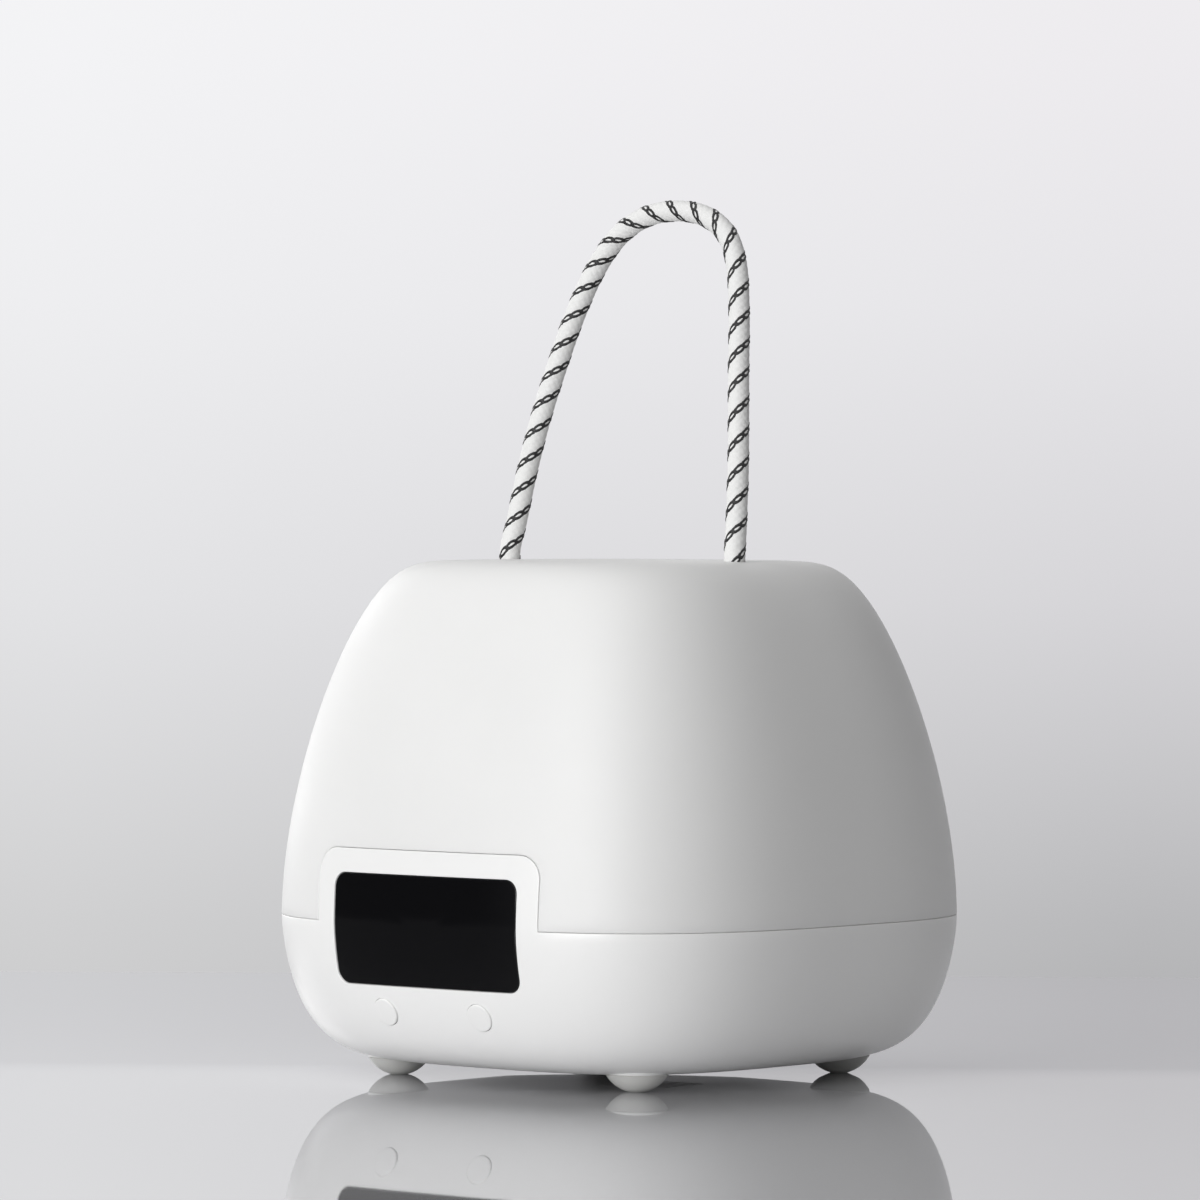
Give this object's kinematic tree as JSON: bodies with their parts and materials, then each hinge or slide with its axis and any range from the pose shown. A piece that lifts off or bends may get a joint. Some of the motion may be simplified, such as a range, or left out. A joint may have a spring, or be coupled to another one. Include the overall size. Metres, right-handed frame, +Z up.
{
  "type": "portable bedside lantern",
  "caption": "Rounded square lantern with a milky dome shade on a white base, a black clock window, push buttons below it, ball feet and a braided rope handle.",
  "frame": {"origin": "on the table surface under the middle of the lantern, where the feet rest", "axes": "+Z up through the dome to the rope handle, -Y out of the front through the clock window, +X to the right as seen from the front"},
  "size_m": [0.149, 0.1488, 0.2188],
  "materials": {
    "base_abs": "satin moulded ABS",
    "shade_opal": "matte milky moulded polycarbonate",
    "window_acrylic": "polished black-tinted acrylic",
    "gasket_foam": "closed-cell foam tape",
    "display_black": "matte black moulding",
    "circuit_board": "green solder mask",
    "screw_steel": "zinc-plated",
    "button_abs": "satin moulded ABS",
    "inner_abs": "plain moulded ABS",
    "switch_black": "moulded nylon",
    "light_board": "white solder mask",
    "led_phosphor": "silicone over phosphor",
    "reflector_white": "microfoamed PET sheet",
    "chip_epoxy": "moulded epoxy",
    "connector_nylon": "natural nylon",
    "socket_steel": "nickel-plated",
    "cell_sleeve": "shrunk PVC sleeve",
    "speaker_black": "moulded, with a paper cone",
    "foot_rubber": "moulded white rubber",
    "rope_polyester": "braided, white with black tracers",
    "crimp_aluminium": "pressed",
    "lead_pvc": "PVC insulation"
  },
  "bodies": {
    "lantern": {"base_shell": "base_abs", "shade": "shade_opal", "window_lens": "window_acrylic", "window_gasket": "gasket_foam", "display_module": "display_black", "display_board": "circuit_board", "display_screws": "screw_steel", "button_guide": "inner_abs", "key_board": "circuit_board", "key_switches": "switch_black", "key_screws": "screw_steel", "inner_deck": "inner_abs", "deck_screws": "screw_steel", "led_board": "light_board", "led_chips": "led_phosphor", "led_screws": "screw_steel", "reflector_sheet": "reflector_white", "main_board": "circuit_board", "main_board_chips": "chip_epoxy", "main_connectors": "connector_nylon", "main_screws": "screw_steel", "usb_socket": "socket_steel", "battery_cell": "cell_sleeve", "battery_cradle": "inner_abs", "battery_strap": "inner_abs", "strap_screws": "screw_steel", "alarm_speaker": "speaker_black", "front_left_foot": "foot_rubber", "front_right_foot": "foot_rubber", "rear_left_foot": "foot_rubber", "rear_right_foot": "foot_rubber", "rope_tail_left": "rope_polyester", "rope_tail_right": "rope_polyester", "rope_crimp_left": "crimp_aluminium", "rope_crimp_right": "crimp_aluminium", "anchor_plate": "inner_abs", "anchor_screws": "screw_steel", "battery_lead": "lead_pvc", "led_lead": "lead_pvc", "display_lead": "lead_pvc", "key_lead": "lead_pvc", "speaker_lead": "lead_pvc"},
    "left_button": {"button_left": "button_abs"},
    "right_button": {"button_right": "button_abs"},
    "handle": {"handle_rope": "rope_polyester"}
  },
  "joints": [
    {"name": "button_left_press", "type": "slide", "parent": "lantern", "child": "left_button", "axis": [0, 0.9018, 0.4321], "range_m": [0, 0.0005], "stiffness_N_per_m": 600},
    {"name": "button_right_press", "type": "slide", "parent": "lantern", "child": "right_button", "axis": [0, 0.9018, 0.4321], "range_m": [0, 0.0005], "stiffness_N_per_m": 600},
    {"name": "handle_lean", "type": "hinge", "parent": "lantern", "child": "handle", "pos_m": [0, 0, 0.1312], "axis": [1, 0, 0], "range_deg": [-60, 80], "stiffness_Nm_per_rad": 0.05}
  ]
}
